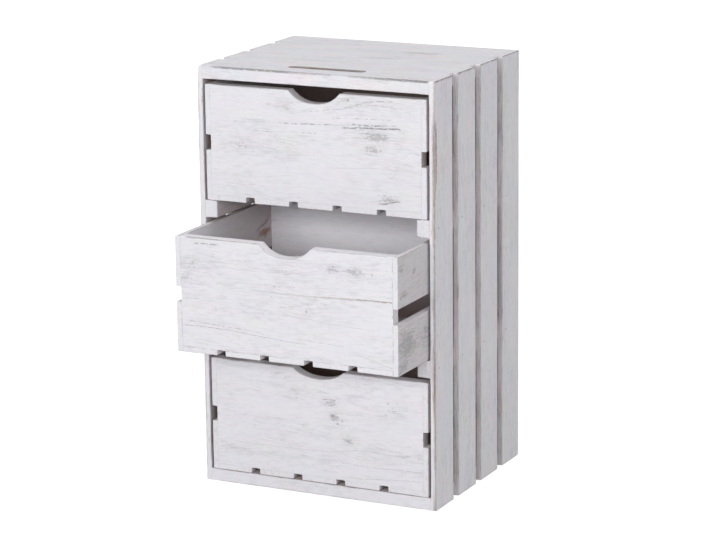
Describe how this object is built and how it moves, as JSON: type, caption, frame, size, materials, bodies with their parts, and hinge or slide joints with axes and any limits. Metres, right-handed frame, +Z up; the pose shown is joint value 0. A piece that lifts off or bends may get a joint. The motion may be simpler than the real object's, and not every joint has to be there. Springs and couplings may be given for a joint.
{
  "type": "chest of drawers",
  "caption": "Small upright crate-style chest: slatted sides, open-framed front with slatted drawers that have scooped finger grips, and a slot to carry it by.",
  "frame": {"origin": "centre of the case footprint, on the floor", "axes": "+Z up, the drawers open towards -Y, +X to the right of someone who faces the drawers"},
  "size_m": [0.32, 0.3405, 0.532],
  "materials": {
    "whitewashed_wood": "matt whitewash worn at the edges, grain showing through",
    "back_panel": "thin board, matt whitewash",
    "brads": "plain steel, heads painted over"
  },
  "bodies": {
    "case": {"top_board": "whitewashed_wood", "bottom_board": "whitewashed_wood", "left_side_slat_1": "whitewashed_wood", "left_side_slat_2": "whitewashed_wood", "left_side_slat_3": "whitewashed_wood", "left_side_slat_4": "whitewashed_wood", "right_side_slat_1": "whitewashed_wood", "right_side_slat_2": "whitewashed_wood", "right_side_slat_3": "whitewashed_wood", "right_side_slat_4": "whitewashed_wood", "middle_left_runner": "whitewashed_wood", "middle_right_runner": "whitewashed_wood", "top_left_runner": "whitewashed_wood", "top_right_runner": "whitewashed_wood", "back_panel": "back_panel", "left_side_brads": "brads", "right_side_brads": "brads", "back_brads": "brads"},
    "bottom_drawer": {"bottom_drawer_front": "whitewashed_wood", "bottom_drawer_back": "whitewashed_wood", "bottom_drawer_left_lower_side": "whitewashed_wood", "bottom_drawer_left_upper_side": "whitewashed_wood", "bottom_drawer_right_lower_side": "whitewashed_wood", "bottom_drawer_right_upper_side": "whitewashed_wood", "bottom_drawer_bottom_slat_1": "whitewashed_wood", "bottom_drawer_bottom_slat_2": "whitewashed_wood", "bottom_drawer_bottom_slat_3": "whitewashed_wood", "bottom_drawer_bottom_slat_4": "whitewashed_wood", "bottom_drawer_bottom_slat_5": "whitewashed_wood", "bottom_drawer_brads": "brads"},
    "middle_drawer": {"middle_drawer_front": "whitewashed_wood", "middle_drawer_back": "whitewashed_wood", "middle_drawer_left_lower_side": "whitewashed_wood", "middle_drawer_left_upper_side": "whitewashed_wood", "middle_drawer_right_lower_side": "whitewashed_wood", "middle_drawer_right_upper_side": "whitewashed_wood", "middle_drawer_bottom_slat_1": "whitewashed_wood", "middle_drawer_bottom_slat_2": "whitewashed_wood", "middle_drawer_bottom_slat_3": "whitewashed_wood", "middle_drawer_bottom_slat_4": "whitewashed_wood", "middle_drawer_bottom_slat_5": "whitewashed_wood", "middle_drawer_brads": "brads"},
    "top_drawer": {"top_drawer_front": "whitewashed_wood", "top_drawer_back": "whitewashed_wood", "top_drawer_left_lower_side": "whitewashed_wood", "top_drawer_left_upper_side": "whitewashed_wood", "top_drawer_right_lower_side": "whitewashed_wood", "top_drawer_right_upper_side": "whitewashed_wood", "top_drawer_bottom_slat_1": "whitewashed_wood", "top_drawer_bottom_slat_2": "whitewashed_wood", "top_drawer_bottom_slat_3": "whitewashed_wood", "top_drawer_bottom_slat_4": "whitewashed_wood", "top_drawer_bottom_slat_5": "whitewashed_wood", "top_drawer_brads": "brads"}
  },
  "joints": [
    {"name": "bottom_drawer_slide", "type": "slide", "parent": "case", "child": "bottom_drawer", "axis": [0, -1, 0], "range_m": [0, 0.2]},
    {"name": "middle_drawer_slide", "type": "slide", "parent": "case", "child": "middle_drawer", "axis": [0, -1, 0], "range_m": [-0.0825, 0.1175]},
    {"name": "top_drawer_slide", "type": "slide", "parent": "case", "child": "top_drawer", "axis": [0, -1, 0], "range_m": [0, 0.2]}
  ]
}
